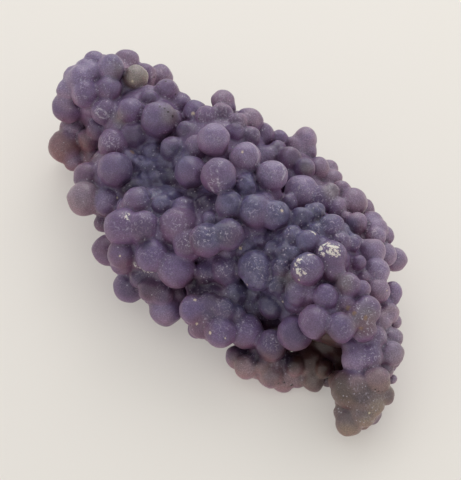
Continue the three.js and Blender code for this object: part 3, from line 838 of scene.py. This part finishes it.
def own_tone(cluster, points, places):
    """How much points belong to the grapes seen at some places."""
    values = np.zeros(len(cluster.balls))
    values[[index for index, grape in enumerate(GRAPES) if grape[:2] in places]] = 1
    return cluster.own(points, values)


def band(cluster, points, runs):
    """How close points lie to the middle of runs of places: 1 on it, and a half where the width ends."""
    found = np.zeros(len(points))
    for run in runs:
        met = cluster.meet(run)
        widths = np.array(run)[:, 2]
        last = len(run) - 1
        for number in range(max(last, 1)):
            start, end = met[number], met[min(number + 1, last)]
            along = end - start
            share = np.clip((points - start) @ along / max(along @ along, TINY), 0, 1)
            width = widths[number] + share * (widths[min(number + 1, last)] - widths[number])
            miss = np.linalg.norm(points - start - share[:, None] * along, axis=1)
            found = np.maximum(found, 1 - miss / (2 * width))
    return found


def recess(cluster, points, normal):
    """How deep in a recess points lie: 0 in the open, 1 where the stone closes round them."""
    found = np.zeros(len(points))
    for ahead in LOOKS_AHEAD:
        free = cluster.measure(points + ahead * normal, ahead)[0]
        found += np.clip(1 - free / ahead, 0, 1) / len(LOOKS_AHEAD)
    return found


def cluster_piece():
    """The whole cluster, with its stone."""
    cluster = Cluster()
    points, quads, on_cut = fine_surface(cluster)
    distance, slope = cluster.measure(points)
    normal = slope / np.maximum(np.linalg.norm(slope, axis=1), TINY)[:, None]
    low = cluster.own(points, np.arange(len(cluster.balls)) >= cluster.grape_count)
    valley = tone(cluster, points, TONES["slate"])
    rough = low * valley * ~on_cut * ripple(points, **GROUND_ROUGHNESS)
    piece = build_mesh("cluster_surface", points + rough[:, None] * normal, quads)
    tints = np.random.default_rng(TINT_SEED).random(len(cluster.balls))
    values = {
        "recess": recess(cluster, points, normal),
        "tint": cluster.own(points, tints),
        "low": low,
        "cut": np.where(on_cut, np.clip(-distance, 0, CUT_DEPTH), -1),
        "crust": band(cluster, points, CRUSTS),
        "veins": band(cluster, points, VEINS),
        "strokes": band(cluster, points, STROKES),
    }
    for name, spots in TONES.items():
        values[name] = tone(cluster, points, spots)
    for name, places in OWN_TONES.items():
        values[name] = own_tone(cluster, points, places)
    # The material reads these by their names.
    for name, found in values.items():
        attribute = piece.data.attributes.new(name, "FLOAT", "POINT")
        attribute.data.foreach_set("value", found.astype(np.float32))
    piece.data.materials.append(stone_material(cluster))
    return piece


class Nodes:
    """A material, and a short hand for making its nodes."""

    def __init__(self, name):
        self.material = bpy.data.materials.new(name)
        self.material.use_nodes = True
        self.tree = self.material.node_tree
        self.shader = self.tree.nodes["Principled BSDF"]

    def add(self, kind, inputs=None, **settings):
        node = self.tree.nodes.new("ShaderNode" + kind)
        for key, value in settings.items():
            setattr(node, key, value)
        for key, value in (inputs or {}).items():
            self.set(node.inputs[key], value)
        return node

    def set(self, socket, value):
        """Links a socket to another node's result, or gives it a constant."""
        if isinstance(value, bpy.types.NodeSocket):
            self.tree.links.new(value, socket)
        else:
            socket.default_value = value

    def set_shader(self, values):
        """Sets the shader's own sockets, by name."""
        for name, value in values.items():
            self.set(self.shader.inputs[name], value)

    def attribute(self, name):
        return self.add("Attribute", attribute_name=name).outputs["Fac"]

    def place(self):
        """Where a point lies on the object, in metres."""
        return self.add("TexCoord").outputs["Object"]

    def math(self, operation, a, b=0.0):
        return self.add("Math", {0: a, 1: b}, operation=operation).outputs[0]

    def times(self, first, *others):
        """The product of some values."""
        for other in others:
            first = self.math("MULTIPLY", first, other)
        return first

    def remap(self, value, low, high, to_low=0.0, to_high=1.0):
        """A value between two limits, eased over from one result to another."""
        inputs = {"Value": value, "From Min": low, "From Max": high, "To Min": to_low, "To Max": to_high}
        return self.add("MapRange", inputs, interpolation_type="SMOOTHSTEP").outputs[0]

    def mix(self, factor, a, b, blend="MIX"):
        node = self.add("Mix", data_type="RGBA", blend_type=blend)
        self.set(node.inputs["Factor"], factor)
        self.set(node.inputs["A"], a)
        self.set(node.inputs["B"], b)
        return node.outputs["Result"]

    def scale(self, colour, factor):
        """A colour made lighter or darker by a factor."""
        vector = self.add("VectorMath", {0: colour, "Scale": factor}, operation="SCALE")
        return vector.outputs[0]

    def noise(self, name):
        """One of the stone's noises."""
        scale, detail, roughness = NOISES[name]
        inputs = {"Vector": self.place(), "Scale": scale, "Detail": detail, "Roughness": roughness}
        return self.add("TexNoise", inputs).outputs["Fac"]

    def specks(self, centres, radii):
        """How far a point is from the nearest of some specks, as a share of that speck's radius."""
        place = self.place()
        nearest = 9.0
        for centre, radius in zip(centres, radii):
            inputs = {0: place, 1: tuple(centre * MM)}
            away_from = self.add("VectorMath", inputs, operation="DISTANCE").outputs["Value"]
            nearest = self.math("MINIMUM", self.math("DIVIDE", away_from, radius * MM), nearest)
        return nearest


def violet(nodes):
    """The stone's violet, which differs from grape to grape and drifts from place to place."""
    colour = nodes.mix(nodes.attribute("tint"), VIOLET, PLUM)
    colour = nodes.mix(nodes.remap(nodes.noise("patches"), 0.35, 0.7, 0, 0.5), colour, BLUE_PATCH)
    drift = nodes.noise("drift")
    colour = nodes.mix(nodes.remap(drift, 0.55, 0.75, 0, 0.45), colour, WARM_DRIFT)
    return nodes.mix(nodes.remap(drift, 0.45, 0.25, 0, 0.45), colour, COOL_DRIFT)


def toned(nodes, colour):
    """The colour with the tones of the stone's parts, some of which are painted shade or painted light."""
    for name, (strength, shade) in TONE_COLOURS.items():
        colour = nodes.mix(nodes.times(nodes.attribute(name), strength), colour, shade)
    # Painted shade, and partly darker stone, in the dim places.
    colour = nodes.scale(colour, nodes.remap(nodes.attribute("dim_and_shade"), 0, 1, 1, DIM_AND_SHADE_BRIGHTNESS))
    # Paler stone, and painted light that comes through the edges.
    lighter = nodes.math("MAXIMUM", nodes.attribute("pale"), nodes.attribute("fair"))
    return nodes.mix(nodes.times(lighter, PALE_AND_GLOW_STRENGTH), colour, PALE_AND_GLOW)


def shaded(nodes, colour, facing, grain):
    """Painted shade darkens the creases, what faces up is bluer, and painted light makes what faces down
    pinker. All of it is grainy.
    """
    # Painted shade in the creases.
    crease_shade = nodes.remap(nodes.attribute("recess"), 0.4, 0.95, 0, CREASE_SHADE_STRENGTH)
    colour = nodes.mix(crease_shade, colour, CREASE_SHADE)
    colour = nodes.mix(nodes.remap(facing, 0.3, 0.95), colour, FACING_UP, "MULTIPLY")
    # Painted light on what faces down.
    colour = nodes.mix(nodes.remap(facing, 0.5, -0.4), colour, FACING_DOWN_GLOW, "MULTIPLY")
    clouds = nodes.remap(nodes.noise("clouds"), 0.3, 0.7, 0.96, 1.05)
    return nodes.scale(colour, nodes.times(nodes.remap(grain, 0.35, 0.8, 0.88, 1.5), clouds))


def mottled(nodes, colour):
    """The colour with the valley's darker and paler blotches."""
    mottle = nodes.noise("mottle")
    valley = nodes.attribute("slate")
    dark = nodes.times(nodes.remap(mottle, 0.56, 0.36, 0, MOTTLE_STRENGTH), valley)
    pale = nodes.times(nodes.remap(mottle, 0.52, 0.7, 0, MOTTLE_STRENGTH), valley)
    return nodes.mix(pale, nodes.mix(dark, colour, MOTTLE_DARK), MOTTLE_PALE)


def frosted(nodes, colour, facing):
    """The colour with frosted scratches on the open faces, fine veins, and single white lines."""
    off_middle = nodes.math("ABSOLUTE", nodes.math("SUBTRACT", nodes.noise("threads"), 0.5))
    broken = nodes.remap(nodes.noise("breaks"), 0.44, 0.6)
    threads = nodes.times(nodes.remap(off_middle, 0.01, 0.07, 1, 0), broken)
    frost = nodes.times(nodes.remap(nodes.noise("frost"), 0.44, 0.62), nodes.remap(facing, 0.0, 0.7))
    colour = nodes.mix(nodes.times(threads, frost, FROST_STRENGTH), colour, FROST)
    veins = nodes.remap(nodes.attribute("veins"), 0.3, 0.8)
    colour = nodes.mix(nodes.times(veins, threads, VEIN_STRENGTH), colour, VEIN)
    strokes = nodes.remap(nodes.attribute("strokes"), 0.72, 0.88)
    worn = nodes.remap(broken, 0, 1, 0.35, 1)
    return nodes.mix(nodes.times(strokes, worn, STROKE_STRENGTH), colour, STROKE)


def crystals(nodes):
    """Where tiny crystals are painted as bright glints, most of them in the low places."""
    cells = nodes.add("TexVoronoi", {"Vector": nodes.place(), "Scale": CRYSTALS_IN_A_METRE})
    chosen = nodes.add("SeparateColor", {0: cells.outputs["Color"]}).outputs[0]
    sheltered = nodes.math("ADD", nodes.attribute("recess"), nodes.attribute("low"))
    share = nodes.remap(sheltered, 0.1, 1.1, 0.03, 0.3)
    inside = nodes.remap(cells.outputs["Distance"], 0.14, 0.34, 1, 0)
    # Few glints show in the hollow's painted shade.
    faded = nodes.remap(nodes.attribute("hollow_shade"), 0, 0.6, 1, 0.1)
    return nodes.times(inside, nodes.math("LESS_THAN", chosen, share), faded)


def white_crust(nodes):
    """Where the lacy white crust is."""
    lace = nodes.math("ADD", nodes.attribute("crust"), nodes.times(nodes.noise("lace"), 2.8))
    return nodes.remap(lace, 2.1, 2.25)


def speckled(nodes, colour, cluster):
    """The colour with ragged specks of ochre, black and cream."""
    ragged = nodes.times(nodes.noise("ragged"), 1.6)
    for specks, strength, shade in SPECK_COLOURS:
        share = nodes.specks(cluster.meet(specks), [speck[2] for speck in specks])
        inside = nodes.remap(nodes.math("ADD", share, ragged), 1.25, 1.8, strength, 0)
        colour = nodes.mix(inside, colour, shade)
    return colour


def cut_open(nodes, colour):
    """The colour, with the broken cut's bands and rock where the stone is cut off flat."""
    cut = nodes.attribute("cut")
    depth = nodes.math("ADD", cut, nodes.times(nodes.noise("bands"), 1.2))
    bands = nodes.add("ValToRGB", {0: nodes.math("DIVIDE", depth, CUT_DEPTH)})
    ramp = bands.color_ramp
    ramp.elements[0].color = CUT_BANDS[0][1]
    ramp.elements[1].color = CUT_BANDS[-1][1]
    for position, shade in CUT_BANDS[1:-1]:
        ramp.elements.new(position).color = shade
    return nodes.mix(nodes.remap(cut, -0.6, -0.1), colour, bands.outputs["Color"])


def stone_material(cluster):
    """The chalcedony: waxy and a little translucent, with all its tones and marks, painted shade, light and
    glints among them.
    """
    nodes = Nodes("chalcedony")
    grain = nodes.noise("grain")
    normal = nodes.add("NewGeometry").outputs["Normal"]
    facing = nodes.add("SeparateXYZ", {0: normal}).outputs["Z"]
    crystal_glints = crystals(nodes)
    crust = white_crust(nodes)

    colour = shaded(nodes, toned(nodes, violet(nodes)), facing, grain)
    colour = frosted(nodes, mottled(nodes, colour), facing)
    # Painted glints of tiny crystals.
    colour = nodes.mix(nodes.times(crystal_glints, CRYSTAL_GLINT_STRENGTH), colour, CRYSTAL_GLINT)
    colour = speckled(nodes, nodes.mix(crust, colour, CRUST), cluster)
    colour = cut_open(nodes, colour)

    relief = nodes.math("ADD", grain, nodes.times(crust, CRUST_HEIGHT))
    bump = nodes.add("Bump", {"Height": relief, "Strength": BUMP_STRENGTH, "Distance": BUMP_HEIGHT * MM})
    nodes.set_shader(
        {
            "Base Color": colour,
            "Roughness": nodes.remap(crystal_glints, 0, 1, STONE_ROUGHNESS, CRYSTAL_ROUGHNESS),
            "IOR": REFRACTION,
            "Specular IOR Level": SPECULAR_LEVEL,
            "Subsurface Weight": SUBSURFACE_WEIGHT,
            "Subsurface Radius": SUBSURFACE_RADIUS,
            "Subsurface Scale": SUBSURFACE_DEPTH * MM,
            "Normal": bump.outputs[0],
        }
    )
    return nodes.material


def floor():
    """The plain pale floor."""
    half = FLOOR_SIDE / 2 * MM
    mesh = bpy.data.meshes.new("floor")
    corners = [(-half, -half, 0), (half, -half, 0), (half, half, 0), (-half, half, 0)]
    mesh.from_pydata(corners, [], [(0, 1, 2, 3)])
    plane = new_object("floor", mesh)
    nodes = Nodes("floor")
    nodes.set_shader(
        {
            "Base Color": FLOOR_COLOUR,
            "Roughness": FLOOR_ROUGHNESS,
            "Emission Color": GLOW_COLOUR,
            "Emission Strength": GLOW_STRENGTH,
        }
    )
    mesh.materials.append(nodes.material)


def set_axes(item, sideways, upward, backward, place):
    """Puts an item at a place in metres, with its own axes along three directions."""
    matrix = Matrix.Identity(4)
    for column, axis in enumerate((sideways, upward, backward, place)):
        for row in range(3):
            matrix[row][column] = axis[row]
    item.matrix_world = matrix


def camera():
    """The camera, which sees the cluster as the picture does."""
    data = bpy.data.cameras.new("camera")
    data.sensor_width = SENSOR_MM
    data.lens = SENSOR_MM * SIGHT_DISTANCE / (max(FRAME_PIXELS) * PIXEL_MM)
    data.clip_start = 0.01
    item = new_object("camera", data)
    set_axes(item, right, up, towards, (eye + FOOTPRINT_SHIFT) * MM)
    bpy.context.scene.camera = item


def area_light(name, place, side, power, colour):
    """A soft square light that shines at the origin."""
    data = bpy.data.lights.new(name, "AREA")
    data.size = side * MM
    data.energy = power
    data.color = colour
    item = new_object(name, data)
    place = (place[0] * right + place[1] * away + place[2] * above) * MM
    backward = place / np.linalg.norm(place)
    sideways = np.cross(above, backward)
    sideways /= np.linalg.norm(sideways)
    set_axes(item, sideways, np.cross(backward, sideways), backward, place)
    item.visible_camera = False


def lights():
    """The light from all round, and the square lights."""
    world = bpy.data.worlds.new("world")
    world.use_nodes = True
    background = world.node_tree.nodes["Background"]
    background.inputs["Color"].default_value = SKY_COLOUR
    background.inputs["Strength"].default_value = SKY_STRENGTH
    bpy.context.scene.world = world
    for name, light in LIGHTS.items():
        area_light(name, **light)


bpy.context.scene.view_settings.view_transform = "Standard"
camera()
piece = cluster_piece()
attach(piece, "root")
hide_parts(NODE)
floor()
lights()
